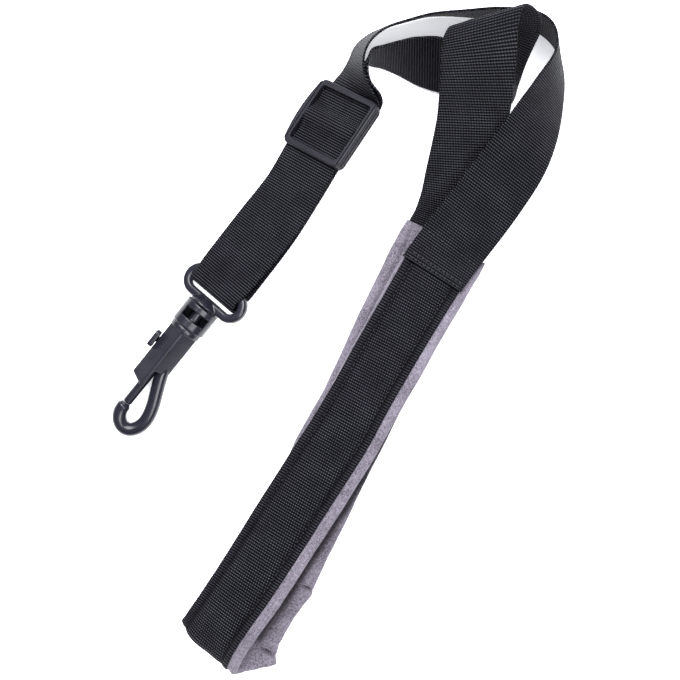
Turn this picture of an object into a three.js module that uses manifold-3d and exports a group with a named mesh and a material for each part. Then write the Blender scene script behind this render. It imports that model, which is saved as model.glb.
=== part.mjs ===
// Saxophone neck strap lying on a table, its pad folded in half. Millimetres, +Z up.
import * as THREE from "three";
import { mergeVertices } from "three/addons/utils/BufferGeometryUtils.js";
import Module from "manifold-3d";

const wasm = await Module();
wasm.setup();

// ---------- driving dimensions ----------

const GAP = 0.3;
const WEBBING_WIDTH = 40;
const WEBBING_THICKNESS = 1.6;

// The lip is how far the lining shows past the webbing's left edge, once lipStart from the pad's ends.
const LINING = { edge: 3.4, crown: 2.5, rounding: 1, endTaper: 12, lip: 4.5, lipStart: 30, gap: 0.4 };
const LINING_PLACES = [1, 0.92, 0.7, 0.35, 0, -0.35, -0.7, -0.92, -1];

const SLIDER = {
  middle: [-74.5, 82.8, 14.8], turn: 4.5, roll: 26.5,
  halfWidth: 22.6, halfLength: 22.6, halfDepth: 3.5, corner: 4, bow: 0.7,
  bevel: 0.8, inside: 20.5, windowHalfWidth: 19.1, windowHalfLength: 18.7, windowCorner: 2,
  windowBevel: 0.1, barUnderside: 0.5,
  crossBar: { halfLength: 2.7, bottom: -1.1, top: 1.4, root: 1 },
};

// The hook's own frame has its origin on the axis at the barrel's foot and +Y along the axis to the ring.
const HOOK = { foot: [-67.7, -68.9, 10.65], turn: -0.9, tilt: 2.1, ringRoll: -18, bodyRoll: 7.5 };

const RING = {
  middle: 30.4, halfWidth: 24, halfHeight: 10.1, bar: 5.4, thickness: 5.4, bevel: 1.5, endFlat: 0.1,
  neckRadius: 9.6, neckFoot: 19.8, neckShoulder: 21.2, neckTop: 25, neckTopRadius: 4,
  postRadius: 2.9, headRadius: 6.4, headBottom: 5.9, headTop: 8.6,
};

const BARREL = {
  radius: 10.5, collarRadius: 9.7, grooveRadius: 9.5, cavityRadius: 7.6, throatRadius: 4.1,
  collarBottom: 0.6, grooveBottom: 3.4, grooveTop: 4, top: 19.4, cavityBottom: 4.9, cavityTop: 15.6,
  window: { left: -7.6, right: 7.6, bottom: 9.4, top: 15.4 },
};

const BODY = {
  halfDiagonal: 9.8, chamfer: 0.7, end: -39.4, shoulder: -27.5, finEdge: 1.3, endSlope: 2.4, overlap: 0.5,
};
const BOLT = { radius: 2.8, chamfer: 0.4, tip: -54.3, inner: -8, clearance: 0.35, travel: 5.5 };
const KNOB = {
  outer: -12.8, inner: -9.5, bottom: -19, top: -7.7, halfDepth: 3.4, corner: 2.2, bevel: 0.6,
  stemBottom: -14.6, stemTop: -11.4, stemLow: -2.3, stemHigh: -0.6,
};
const JAW_RADIUS = 4.1;
const CUT_REACH = 30;

// How finely curves are divided.
const ROW_STEPS = 3;
const TURNED_SIDES = 32;
const BOLT_SIDES = 20;
const JAW_STEPS = 36;
const JAW_SIDES = 6;
const CORNER_STEPS = 6;
const BOW_STEPS = 8;
const WELD = 1e-4;

// ---------- short tables ----------

// Webbing inside the slider, in the slider's frame: along, height, across, squeeze.
const DROP_START = [[-0.5, -2.5], [-16, -2.5], [-23.5, -3]];
const DROP_END = [
  [-24, -1.1], [-19.5, -0.7], [-16, -0.6], [-12.5, -0.1, 0, 0.93], [-8, 1.4, 0, 0.93],
  [-3.5, 2.75, 0, 0.93], [0, 3.1, 0, 0.93], [3.5, 2.75, 0, 0.93], [8, 1.4, 0, 0.93],
  [12.5, -0.1, 0, 0.93], [16, -0.6], [18.9, -0.6],
];
const UPPER_START = [[19.2, -0.6, 0.6, 0.97], [23, -0.75, 1.6, 0.92]];
const LOWER_START = [[-0.2, -2.5], [16, -2.6], [23, -3.6]];

// First half of the turn round the ring's far bar: along from the bar, share of the lift, squeeze.
const RING_TURN = [[6, -1, 0.93], [-1, -1, 0.88], [-5.4, -1, 0.87], [-8.2, -0.7, 0.87], [-9.2, 0, 0.87]];

// Ribbon rows: middle x, y, z, then the heading and the rise of its width, left edge to right, in degrees.
const UPPER_ROWS = [
  [-77.4, 110.5, 19, -11, 46],
  [-83.3, 117.6, 19.8, -27, 59],
  [-87.6, 126.4, 19.8, -36, 64],
  [-87.7, 136.3, 19.8, -45, 67],
  [-83.8, 146.6, 19.8, -54, 69],
  [-77.6, 156, 20, -59, 69],
  [-67.8, 168.5, 20, -64, 69],
  [-53.2, 181, 20, -72, 71],
  [-36.5, 193.8, 20, -90, 74],
  [-18, 203.5, 20.2, -105, 77],
  [-2.8, 203.4, 20.4, -126, 75],
  [9.3, 192.5, 21.5, -145, 68],
  [16, 173, 26, -160, 52],
  [20.9, 150.5, 33.5, -168, 36],
  [24.2, 129, 34, -173, 22],
  [25.4, 107.5, 27.5, -176, 10],
  [26, 85, 21.6, -178, 2],
  [26.4, 66, 19.7, -177, 0],
  [27, 49.5, 19.7, -174, 0],
];

const LOWER_ROWS = [
  [-73.5, 112.3, 16.2, -9, 45],
  [-79, 117, 18.2, -27, 57],
  [-80.8, 122.2, 19.6, -40, 70],
  [-79.2, 127, 20.4, -68, 83],
  [-73.8, 132, 20.2, -110, 88],
  [-65.9, 137.2, 20, 145, 80.6],
  [-56, 142.6, 19.2, 141, 66.5],
  [-43.5, 149.5, 18.7, 137, 59],
  [-27, 153.5, 20, 133, 72],
  [-12, 157, 20.6, 143, 83],
  [-3, 163, 20.6, 190, 79],
  [-11.4, 169.8, 21.5, 208, 60],
  [-18, 174.8, 27, 211, 46],
  [-23, 178.4, 36, 212, 31],
  [-26.3, 179.8, 46, 215, 14],
  [-29.3, 177.2, 55.4, 223, 2],
  [-33.8, 172.3, 62, 231, -6],
  [-36.4, 167, 65.6, 231, -11],
  [-33.5, 159, 65.2, 228, -8],
  [-26.3, 150, 61, 221, -4],
  [-18.5, 140.5, 52, 217.5, -1],
  [-10.4, 130.3, 41.2, 216.5, 0],
  [-4, 119.5, 32.5, 216, 0],
  [2.5, 107.5, 23.5, 214, 0],
  [10, 94, 14.8, 208, 0],
  [14.4, 83, 8.3, 200, 0],
  [16.3, 74, 4.3, 194, 0],
  [18.8, 60, 1.3, 192.5, 0],
  [21.8, 45, 0.8, 192, 0],
];

// Rows of the doubled strap's two layers between the slider and the ring.
const DROP_UNDER_ROWS = [[-69.3, 40, 9.6, 4, 25], [-67.3, 10, 8.2, 2, 21]];
const DROP_OVER_ROWS = [[-68.2, 10, 14.5, 2, 21], [-69, 38, 14, 4, 25]];

// Rows of the webbing that backs the pad, from the end sewn to the upper strap to the other end.
const PAD_ROWS = [
  [26.3, 73, 17.7, -177, 0],
  [27, 49, 17.6, -174, 0],
  [33.5, 0, 18.1, -168, -6],
  [39, -35, 18.4, -168.5, -14],
  [42.8, -60, 18.7, -168.5, -19],
  [45.4, -88, 19, -168, -24],
  [47.8, -115, 19.2, -166.5, -27],
  [50.9, -146, 19.2, -165, -30],
  [53.4, -174, 19, -165, -32],
  [55, -190, 18, -168, -31],
  [56.8, -201.5, 14.8, -176, -26],
  [58.4, -207.6, 10.3, -185, -17],
  [62.5, -205.2, 4.9, -182, -8],
  [66.3, -196, 2.4, -175, -3],
  [69.3, -182, 1.1, -170.5, 0],
  [67, -162, 0.9, -167, 0],
  [58.5, -126, 0.9, -165, 0],
  [45.5, -75, 0.9, -167.5, 0],
  [38.3, -32, 0.9, -168.6, 0],
  [30.5, 4, 1, -167.5, 0],
  [21.6, 44, 2.8, -167.5, 0],
  [18.6, 58, 3.9, -167.5, 0],
  [15.8, 72.5, 6.4, -167.5, 0],
];

// Middle line of the jaw in the hook's frame, from its root in the body to its nose.
const JAW_POINTS = [
  [3.4, -22], [6.2, -30], [9.8, -38.5], [13.4, -47], [15.4, -55], [14.8, -61.5],
  [11.6, -66.4], [7, -67.6], [2.6, -65.2], [0, -60.6], [-0.4, -54.9],
];

// ---------- solids ----------

const radians = THREE.MathUtils.degToRad;

/** Unit vector along a ribbon's width, from its heading in plan and its rise. */
function widthDirection(heading, rise) {
  const level = Math.cos(radians(rise));
  return new THREE.Vector3(
    level * Math.cos(radians(heading)), level * Math.sin(radians(heading)), Math.sin(radians(rise)));
}

/** Middle, width and outward directions, and squeeze, at evenly spread places along a ribbon's rows. */
function ribbonFrames(rows) {
  const middles = new THREE.CatmullRomCurve3(
    rows.map(([x, y, z]) => new THREE.Vector3(x, y, z)), false, "catmullrom");
  const widths = new THREE.CatmullRomCurve3(
    rows.map(([, , , heading, rise]) => widthDirection(heading, rise)), false, "catmullrom");
  const squeezes = new THREE.CatmullRomCurve3(
    rows.map(([, , , , , squeeze = 1]) => new THREE.Vector3(squeeze, 0, 0)), false, "catmullrom");
  const steps = (rows.length - 1) * ROW_STEPS;
  return Array.from({ length: steps + 1 }, (unused, step) => {
    const middle = middles.getPoint(step / steps);
    const across = widths.getPoint(step / steps).normalize();
    const outward = across.clone().cross(middles.getTangent(step / steps)).normalize();
    return { middle, across, outward, squeeze: squeezes.getPoint(step / steps).x };
  });
}

/** Point of a ribbon's section, given how far it is across and outward from the middle. */
function sectionPoint(frame, across, outward) {
  return frame.middle.clone()
    .addScaledVector(frame.across, across)
    .addScaledVector(frame.outward, outward);
}

/** Closed solid through rings of points that have the same count, with flat ends. */
function loft(rings) {
  const count = rings[0].length;
  const last = (rings.length - 1) * count;
  const points = rings.flat();
  const indices = [];
  for (let ring = 0; ring < last; ring += count) {
    for (let side = 0; side < count; side += 1) {
      const here = ring + side;
      const beside = ring + (side + 1) % count;
      const rising = points[here].distanceTo(points[beside + count]);
      const falling = points[beside].distanceTo(points[here + count]);
      indices.push(...(rising < falling
        ? [here, beside, beside + count, here, beside + count, here + count]
        : [here, beside, here + count, beside, beside + count, here + count]));
    }
  }
  for (let side = 1; side + 1 < count; side += 1) {
    indices.push(0, side + 1, side, last, last + side, last + side + 1);
  }
  const geometry = new THREE.BufferGeometry().setFromPoints(points);
  geometry.setIndex(indices);
  return geometry;
}

/** Flat webbing of one thickness along a ribbon's frames. */
function webbingSolid(frames) {
  const side = WEBBING_WIDTH / 2;
  const half = WEBBING_THICKNESS / 2;
  return loft(frames.map((frame) => {
    const reach = side * frame.squeeze;
    return [
      sectionPoint(frame, -reach, half), sectionPoint(frame, reach, half),
      sectionPoint(frame, reach, -half), sectionPoint(frame, -reach, -half),
    ];
  }));
}

/** Foam lining on the inner side of the pad's webbing, crowned across and thinner at its two ends. */
function liningSolid(frames) {
  const top = -WEBBING_THICKNESS / 2 - LINING.gap;
  const right = WEBBING_WIDTH / 2;
  const walked = walkedLengths(frames);
  const total = walked[walked.length - 1];
  return loft(frames.map((frame, index) => {
    const fromEnd = Math.min(walked[index], total - walked[index]);
    const fullness = Math.sqrt(Math.min(1, fromEnd / LINING.endTaper));
    const lip = Math.max(LINING.lip * Math.min(1, fromEnd / LINING.lipStart), GAP);
    const middle = -lip / 2;
    const side = right + lip / 2;
    const crown = LINING_PLACES.map((place) => {
      const depth = LINING.edge + fullness * LINING.crown * (1 - place ** 4);
      const rounding = Math.abs(place) === 1 ? LINING.rounding : 0;
      return sectionPoint(frame, middle + place * side, top - depth + rounding);
    });
    return [
      sectionPoint(frame, middle - side, top), sectionPoint(frame, -right, top),
      sectionPoint(frame, right, top), ...crown,
    ];
  }));
}

/** Distance walked along the middles of the frames, up to each of them. */
function walkedLengths(frames) {
  const lengths = [0];
  for (let index = 1; index < frames.length; index += 1) {
    lengths.push(lengths[index - 1] + frames[index].middle.distanceTo(frames[index - 1].middle));
  }
  return lengths;
}

/** Manifold solid of a closed three.js geometry. */
function toSolid(geometry) {
  const bare = geometry.clone();
  bare.deleteAttribute("normal");
  bare.deleteAttribute("uv");
  const merged = mergeVertices(bare, WELD);
  return new wasm.Manifold(new wasm.Mesh({
    numProp: 3,
    vertProperties: new Float32Array(merged.attributes.position.array),
    triVerts: new Uint32Array(wholeTriangles(merged.index.array)),
  }));
}

/** Corner numbers of the triangles whose three corners differ. */
function wholeTriangles(corners) {
  const kept = [];
  for (let first = 0; first < corners.length; first += 3) {
    const [a, b, c] = corners.slice(first, first + 3);
    if (a !== b && b !== c && c !== a) {
      kept.push(a, b, c);
    }
  }
  return kept;
}

/** three.js geometry of a Manifold solid. */
function toGeometry(solid) {
  const { vertProperties, triVerts } = solid.getMesh();
  const geometry = new THREE.BufferGeometry();
  geometry.setAttribute("position", new THREE.BufferAttribute(vertProperties, 3));
  geometry.setIndex(new THREE.BufferAttribute(triVerts, 1));
  return geometry;
}

/** Box between two corners, as a Manifold solid. */
function boxSolid(low, high) {
  const size = high.map((value, axis) => value - low[axis]);
  const middle = high.map((value, axis) => (value + low[axis]) / 2);
  return toSolid(new THREE.BoxGeometry(...size).translate(...middle));
}

/** Solid turned about the hook's axis, from [radius, distance along the axis] rows. */
function turnedSolid(profile, sides = TURNED_SIDES) {
  const points = profile.map(([radius, along]) => new THREE.Vector2(radius, along));
  return toSolid(new THREE.LatheGeometry(points, sides));
}

/** Points of a rounded rectangle, anticlockwise, whose left side bows out by bow in its middle. */
function roundedOutline(halfWidth, halfHeight, corner, bow = 0) {
  const quarter = Math.PI / 2;
  const middles = [[1, -1], [1, 1], [-1, 1], [-1, -1]];
  const points = middles.flatMap(([right, up], index) => {
    const middle = new THREE.Vector2(right * (halfWidth - corner), up * (halfHeight - corner));
    return Array.from({ length: CORNER_STEPS + 1 }, (unused, step) => {
      const angle = (index - 1 + step / CORNER_STEPS) * quarter;
      return new THREE.Vector2(Math.cos(angle), Math.sin(angle)).multiplyScalar(corner).add(middle);
    });
  });
  const leftSide = (CORNER_STEPS + 1) * 3;
  for (let step = 1; bow > 0 && step < BOW_STEPS; step += 1) {
    const share = 1 - 2 * step / BOW_STEPS;
    const side = new THREE.Vector2(-halfWidth - bow * (1 - share ** 2), share * (halfHeight - corner));
    points.splice(leftSide + step - 1, 0, side);
  }
  return points;
}

/** Geometry of a plate between two heights with bevelled rims. */
function plateGeometry(shape, bottom, top, bevel) {
  const geometry = new THREE.ExtrudeGeometry(shape, {
    depth: top - bottom - 2 * bevel,
    bevelThickness: bevel, bevelSize: bevel, bevelOffset: -bevel, bevelSegments: 2,
  });
  return geometry.translate(0, 0, bottom + bevel);
}

// ---------- slider and the webbing in it ----------

/** Group placed and turned as the slider lies. */
function sliderPlace() {
  const place = new THREE.Group();
  place.position.set(...SLIDER.middle);
  place.rotation.set(0, -radians(SLIDER.roll), radians(SLIDER.turn), "ZYX");
  place.updateMatrix();
  return place;
}

/** Ribbon rows for webbing in the slider, from [along, height, across, squeeze] rows in its frame. */
function rowsInSlider(rows) {
  const place = sliderPlace();
  return rows.map(([along, height, across = 0, squeeze = 1]) => {
    const middle = new THREE.Vector3(across, along, height).applyMatrix4(place.matrix);
    return [...middle.toArray(), SLIDER.turn, SLIDER.roll, squeeze];
  });
}

/** Slide adjuster: two side rails, two outer bars over the webbing and one bar under it. */
function sliderGeometry() {
  const { halfWidth, halfLength, halfDepth, inside, crossBar } = SLIDER;
  const outline = new THREE.Shape(roundedOutline(halfWidth, halfLength, SLIDER.corner, SLIDER.bow));
  const outer = plateGeometry(outline, -halfDepth, halfDepth, SLIDER.bevel);
  const window = new THREE.Shape(
    roundedOutline(SLIDER.windowHalfWidth, SLIDER.windowHalfLength, SLIDER.windowCorner));
  const opening = plateGeometry(window, -CUT_REACH, CUT_REACH, SLIDER.windowBevel);
  const channel = boxSolid([-inside, -CUT_REACH, -CUT_REACH], [inside, CUT_REACH, SLIDER.barUnderside]);
  const barEnd = inside + crossBar.root;
  const bar = boxSolid(
    [-barEnd, -crossBar.halfLength, crossBar.bottom], [barEnd, crossBar.halfLength, crossBar.top]);
  return toGeometry(toSolid(outer).subtract(toSolid(opening)).subtract(channel).add(bar));
}

// ---------- hook ----------

/** Group placed and turned as the hook lies. */
function hookPlace() {
  const place = new THREE.Group();
  place.position.set(...HOOK.foot);
  place.rotation.set(radians(HOOK.tilt), 0, radians(HOOK.turn), "ZYX");
  place.updateMatrix();
  return place;
}

/** Flat ring with its neck, and the headed post that turns in the barrel. */
function swivelRingGeometry() {
  const { halfWidth, halfHeight, bar, thickness, bevel } = RING;
  const corner = halfHeight - RING.endFlat;
  const shape = new THREE.Shape(roundedOutline(halfWidth, halfHeight, corner));
  const hole = roundedOutline(halfWidth - bar, halfHeight - bar, corner - bar);
  shape.holes.push(new THREE.Path(hole));
  const plate = plateGeometry(shape, -thickness / 2, thickness / 2, bevel).translate(0, RING.middle, 0);
  const neck = turnedSolid([
    [0, RING.headBottom], [RING.headRadius, RING.headBottom], [RING.headRadius, RING.headTop],
    [RING.postRadius, RING.headTop], [RING.postRadius, RING.neckFoot], [RING.neckRadius, RING.neckFoot],
    [RING.neckRadius, RING.neckShoulder], [RING.neckTopRadius, RING.neckTop], [0, RING.neckTop],
  ]);
  return toGeometry(toSolid(plate).add(neck));
}

/** Barrel of the hook: collar, groove and a cavity with a window in front. */
function barrelSolid() {
  const { window } = BARREL;
  const wall = turnedSolid([
    [0, BARREL.collarBottom], [BARREL.collarRadius, BARREL.collarBottom],
    [BARREL.collarRadius, BARREL.grooveBottom], [BARREL.grooveRadius, BARREL.grooveBottom],
    [BARREL.grooveRadius, BARREL.grooveTop], [BARREL.radius, BARREL.grooveTop],
    [BARREL.radius, BARREL.top], [BARREL.throatRadius, BARREL.top],
    [BARREL.throatRadius, BARREL.cavityTop], [BARREL.cavityRadius, BARREL.cavityTop],
    [BARREL.cavityRadius, BARREL.cavityBottom], [0, BARREL.cavityBottom],
  ]);
  return wall.subtract(
    boxSolid([window.left, window.bottom, 0], [window.right, window.top, CUT_REACH]));
}

/** Outline of the body's square section, standing on one corner, with its four corners cut off. */
function bodyOutline() {
  const corners = [[1, 0], [0, 1], [-1, 0], [0, -1]].map(([x, y]) => new THREE.Vector2(x, y));
  return new THREE.Shape(corners.flatMap((corner) => {
    const beside = new THREE.Vector2(-corner.y, corner.x).multiplyScalar(BODY.chamfer);
    const tip = corner.clone().multiplyScalar(BODY.halfDiagonal - BODY.chamfer);
    return [tip.clone().sub(beside), tip.clone().add(beside)];
  }));
}

/** Four-sided body with its ridge up, whose right side stops short where the eye begins. */
function bodySolid() {
  const { halfDiagonal, end, shoulder, finEdge, endSlope, overlap } = BODY;
  const length = BARREL.collarBottom + overlap - end;
  const prism = new THREE.ExtrudeGeometry(bodyOutline(), { depth: length, bevelEnabled: false });
  prism.rotateX(-Math.PI / 2).translate(0, end, 0);
  const rightSide = boxSolid(
    [finEdge, end - CUT_REACH, -CUT_REACH], [CUT_REACH, shoulder, CUT_REACH]);
  const slantedEnd = new THREE.BoxGeometry(2 * CUT_REACH, CUT_REACH, 2 * CUT_REACH)
    .translate(0, -CUT_REACH / 2, 0)
    .rotateZ(-Math.atan2(endSlope, halfDiagonal))
    .translate(finEdge, end, 0);
  return toSolid(prism).subtract(rightSide).subtract(toSolid(slantedEnd));
}

/** J-shaped jaw, a round bar along its middle line, cut off a gap above the bolt's tip. */
function jawSolid() {
  const points = JAW_POINTS.map(([x, y]) => new THREE.Vector3(x, y, 0));
  const path = new THREE.CatmullRomCurve3(points, false, "centripetal");
  const section = new THREE.Shape();
  section.absarc(0, 0, JAW_RADIUS, 0, 2 * Math.PI);
  const bar = new THREE.ExtrudeGeometry(
    section, { steps: JAW_STEPS, extrudePath: path, curveSegments: JAW_SIDES });
  const noseEnd = boxSolid(
    [-CUT_REACH, BOLT.tip - GAP, -CUT_REACH], [JAW_RADIUS, BOLT.tip + JAW_RADIUS, CUT_REACH]);
  return toSolid(bar).subtract(noseEnd);
}

/** Hook in one moulding: barrel, body with the bolt's bore and slot, and jaw. */
function hookBodyGeometry() {
  const { radius, clearance, travel, inner } = BOLT;
  const boreRadius = radius + clearance;
  const boreTop = inner + travel + clearance;
  const boreEnd = BODY.end - 1;
  const bore = turnedSolid(
    [[0, boreEnd], [boreRadius, boreEnd], [boreRadius, boreTop], [0, boreTop]], BOLT_SIDES);
  const slot = boxSolid(
    [-CUT_REACH, KNOB.stemBottom - clearance, KNOB.stemLow - clearance],
    [0, KNOB.stemTop + travel + clearance, KNOB.stemHigh + clearance]);
  return toGeometry(barrelSolid().add(bodySolid()).add(jawSolid()).subtract(bore).subtract(slot));
}

/** Sliding pin that closes the eye, with its stem and thumb knob. */
function gateBoltGeometry() {
  const { radius, chamfer, tip, inner } = BOLT;
  const pin = turnedSolid(
    [[0, tip], [radius - chamfer, tip], [radius, tip + chamfer], [radius, inner], [0, inner]], BOLT_SIDES);
  const stem = boxSolid(
    [KNOB.inner - KNOB.bevel, KNOB.stemBottom, KNOB.stemLow], [0, KNOB.stemTop, KNOB.stemHigh]);
  const halfLength = (KNOB.top - KNOB.bottom) / 2;
  const outline = new THREE.Shape(roundedOutline(KNOB.halfDepth, halfLength, KNOB.corner));
  const plate = plateGeometry(outline, KNOB.outer, KNOB.inner, KNOB.bevel)
    .rotateY(Math.PI / 2)
    .translate(0, KNOB.bottom + halfLength, 0);
  return toGeometry(pin.add(stem).add(toSolid(plate)));
}

// ---------- straps ----------

/** Ribbon rows of the webbing's turn round the ring's far bar. */
function rowsAroundRing() {
  const place = hookPlace();
  const rolled = new THREE.Matrix4().makeRotationY(radians(HOOK.ringRoll));
  const farBar = RING.middle + RING.halfHeight - RING.bar / 2;
  const lift = RING.thickness / 2 + GAP + WEBBING_THICKNESS / 2;
  const back = RING_TURN.slice(0, -1).reverse().map(([along, side, squeeze]) => [along, -side, squeeze]);
  return [...RING_TURN, ...back].map(([along, side, squeeze]) => {
    const middle = new THREE.Vector3(0, farBar + along, side * lift);
    middle.applyMatrix4(rolled).applyMatrix4(place.matrix);
    return [...middle.toArray(), HOOK.turn, -HOOK.ringRoll, squeeze];
  });
}

/** Rows of the doubled strap: down to the ring, round its far bar and back over the slider. */
function dropRows() {
  return [
    ...rowsInSlider(DROP_START), ...DROP_UNDER_ROWS, ...rowsAroundRing(), ...DROP_OVER_ROWS,
    ...rowsInSlider(DROP_END),
  ];
}

/** Mesh with its own material. */
function piece(name, geometry, color, roughness) {
  const mesh = new THREE.Mesh(geometry, new THREE.MeshStandardMaterial({ color, roughness, metalness: 0 }));
  mesh.name = name;
  return mesh;
}

/** Hook and swivel ring, each rolled on the hook's axis as it lies. */
function hookGroup() {
  const ring = new THREE.Group();
  ring.rotation.y = radians(HOOK.ringRoll);
  ring.add(piece("swivel_ring", swivelRingGeometry(), 0x3d3f4a, 0.42));
  const body = new THREE.Group();
  body.rotation.y = radians(HOOK.bodyRoll);
  body.add(piece("hook_body", hookBodyGeometry(), 0x3f414c, 0.4));
  body.add(piece("gate_bolt", gateBoltGeometry(), 0x33353f, 0.45));
  return hookPlace().add(ring, body);
}

/** Pieces of the pad and of the webbing loop. */
function softPieces() {
  const webbing = (name, rows) => piece(name, webbingSolid(ribbonFrames(rows)), 0x1c1c26, 0.85);
  return [
    webbing("pad_cover", PAD_ROWS),
    piece("pad_lining", liningSolid(ribbonFrames(PAD_ROWS)), 0x968c9b, 0.95),
    webbing("strap_upper", [...rowsInSlider(UPPER_START), ...UPPER_ROWS]),
    webbing("strap_lower", [...rowsInSlider(LOWER_START), ...LOWER_ROWS]),
    webbing("strap_drop", dropRows()),
  ];
}

const slider = sliderPlace();
slider.add(piece("slider", sliderGeometry(), 0x45434f, 0.6));

// Shifted so that the middle of the box's underside is the origin.
const harness = new THREE.Group();
harness.add(...softPieces(), slider, hookGroup());
const box = new THREE.Box3().setFromObject(harness, true);
const middle = box.getCenter(new THREE.Vector3());
harness.position.set(-middle.x, -middle.y, -box.min.z);

const root = new THREE.Group();
root.add(harness);

export default root;
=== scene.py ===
# Looks of the saxophone harness lying flat: woven webbing, velvet-faced pad, moulded slider and hook.
import math

import bpy
import numpy as np
from mathutils import Matrix, Vector, noise


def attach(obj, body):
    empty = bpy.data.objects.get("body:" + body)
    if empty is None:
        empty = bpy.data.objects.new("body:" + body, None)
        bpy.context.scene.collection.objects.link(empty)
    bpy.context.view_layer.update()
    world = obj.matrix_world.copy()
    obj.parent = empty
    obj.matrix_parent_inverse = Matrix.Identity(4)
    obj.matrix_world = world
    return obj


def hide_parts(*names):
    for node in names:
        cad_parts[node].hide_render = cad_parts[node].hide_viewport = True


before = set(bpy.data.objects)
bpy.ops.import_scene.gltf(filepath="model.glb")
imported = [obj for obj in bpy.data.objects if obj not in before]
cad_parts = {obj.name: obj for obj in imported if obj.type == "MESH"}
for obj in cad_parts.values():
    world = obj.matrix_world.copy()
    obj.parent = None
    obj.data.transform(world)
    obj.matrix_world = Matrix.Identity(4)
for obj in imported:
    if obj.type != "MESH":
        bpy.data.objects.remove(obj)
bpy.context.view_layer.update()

MM = 0.001
# Where the tables' origin lies in the part's frame.
CENTRE = np.array([1.951, 0.282, 0.0])

# ---------- driving dimensions, in millimetres ----------

WEBBING_WIDTH = 40.0
WEBBING_THICKNESS = 1.6
STRAP_RIB_PITCH = 1.56
PAD_RIB_PITCH = 1.65
RIB_HEIGHT = 0.11
RIB_SECTIONS = 4
YARN_PITCH = 1.53
# Share of their pitch by which the yarns shift from one rib to the next.
YARN_SHIFT = 0.25
# Lowest height of the soft pieces.
REST_CLEARANCE = 0.02
GAP = 0.3

# Section of the webbing, with its rim in shares of half the width and of the height.
FACE_POINTS = 21
FACE_CROWDING = 1.25
FACE_EDGE = 0.86
SELVEDGE_RIM = [(1.0, 0.45), (1.012, 0), (1.0, -0.45)]
SELVEDGE_WIDTH = 1.2
SELVEDGE_SCALLOP = 0.07

# Unevenness of the cloth's face and wander of its middle: size, and the length it changes over.
UNEVENNESS = (0.35, 34)
WANDER = (0.3, 40)
# How much more slowly it changes across, the noise's cells over one such length, and a seed's step.
NOISE_ACROSS = 0.35
NOISE_CELLS = 6
NOISE_SEED_STEP = 7.31

SEAM_INSET = 5.2
SEAM_REACH = WEBBING_WIDTH / 2 - SEAM_INSET
END_SEAM_INSET = 4.2
STITCH_PITCH = 2.9
STITCH_LENGTH = 2.1
STITCH_RADIUS = 0.2
STITCH_BULGE = 0.16
STITCH_FLATNESS = 0.75
# Seams across the upper strap's end: first from the end, second from the first, and the furthest back.
UPPER_SEAMS = dict(end=1.6, spacing=3, back=19, margin=1.5)

SLIDER = dict(
    middle=(-74.5, 82.8, 14.8), turn=4.5, roll=26.5,
    half_width=22.6, half_length=22.6, half_depth=3.5, corner=5.0, bow=1.6,
    inside=20.5, window_half_width=19.1, window_half_length=18.7, window_corner=2.4, bar_underside=0.5,
    bar_half=2.7, bar_bottom=-1.1, bar_top=1.4, bar_root=1,
    groove_inset=1.75, groove_half=0.42, groove_depth=1.1, wall_groove_depth=0.9,
)
# Grooves along the slider's outer walls: lower and upper edge.
WALL_GROOVES = ((0.5, 1.5), (-2.2, -1.3))
HOOK = dict(foot=(-67.7, -68.9, 10.65), turn=-0.9, tilt=2.1, ring_roll=-18.0, body_roll=7.5)
# The squareness is the power of the superellipse that the ring's bar has as its section.
RING = dict(
    middle=30.4, half_width=24.0, half_height=10.1, bar=5.4, squareness=3.2,
    neck_radius=9.6, neck_foot=19.8, neck_shoulder=21.2, neck_top=25.0, neck_top_radius=4.0,
    post_radius=2.9, head_radius=6.4, head_bottom=5.9, head_top=8.6,
)
BARREL = dict(
    radius=10.5, collar_radius=9.7, groove_radius=9.4, cavity_radius=7.6, throat_radius=4.1,
    collar_bottom=0.6, groove_bottom=3.3, groove_top=4.1, groove_lip=0.2, top=19.4,
    cavity_bottom=4.9, cavity_top=15.6, window_half=7.6, window_bottom=9.4, window_top=15.4,
)
BODY = dict(
    half_diagonal=9.8, chamfer=0.7, end=-39.4, shoulder=-27.5, fin_edge=1.3,
    end_slope=2.4, overlap=0.5,
)
BOLT = dict(radius=2.8, chamfer=0.4, tip=-54.3, inner=-8.0, clearance=0.35, travel=5.5)
KNOB = dict(
    outer=-12.8, inner=-9.5, bottom=-19.0, top=-7.7, half_depth=3.4,
    stem_bottom=-14.6, stem_top=-11.4, stem_low=-2.3, stem_high=-0.6, stem_overlap=0.6,
)
# The jaw's nose thins over its last rings, to a least share (squared) of the radius.
JAW = dict(radius=4.1, rings=110, nose=2.2, nose_rings=20, nose_least=0.55)

# Past every edge of a moulding, for cuts right through it.
FAR = 30.0
# Radius that stands for a turned solid's axis.
AXIS_RADIUS = 0.01

# ---------- short tables ----------

# Webbing inside the slider, in the slider's frame: along, height, across, squeeze.
DROP_START = [(-0.5, -2.5), (-16, -2.5), (-23.5, -3)]
DROP_END = [
    (-24, -1.1), (-19.5, -0.7), (-16, -0.6), (-12.5, -0.6, 0, 0.93), (-9, -0.5, 0, 0.93),
    (-6.4, 0.4, 0, 0.93), (-4.2, 2, 0, 0.93), (-1.8, 3, 0, 0.93), (0, 3.15, 0, 0.93),
    (1.8, 3, 0, 0.93), (4.2, 2, 0, 0.93), (6.4, 0.4, 0, 0.93), (9, -0.5, 0, 0.93),
    (12.5, -0.6, 0, 0.93), (16, -0.6), (18.9, -0.6),
]
UPPER_START = [(19.2, -0.6, 0.6, 0.97), (23, -0.75, 1.6, 0.92)]
LOWER_START = [(-0.2, -2.5), (16, -2.6), (23, -3.6)]

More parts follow.
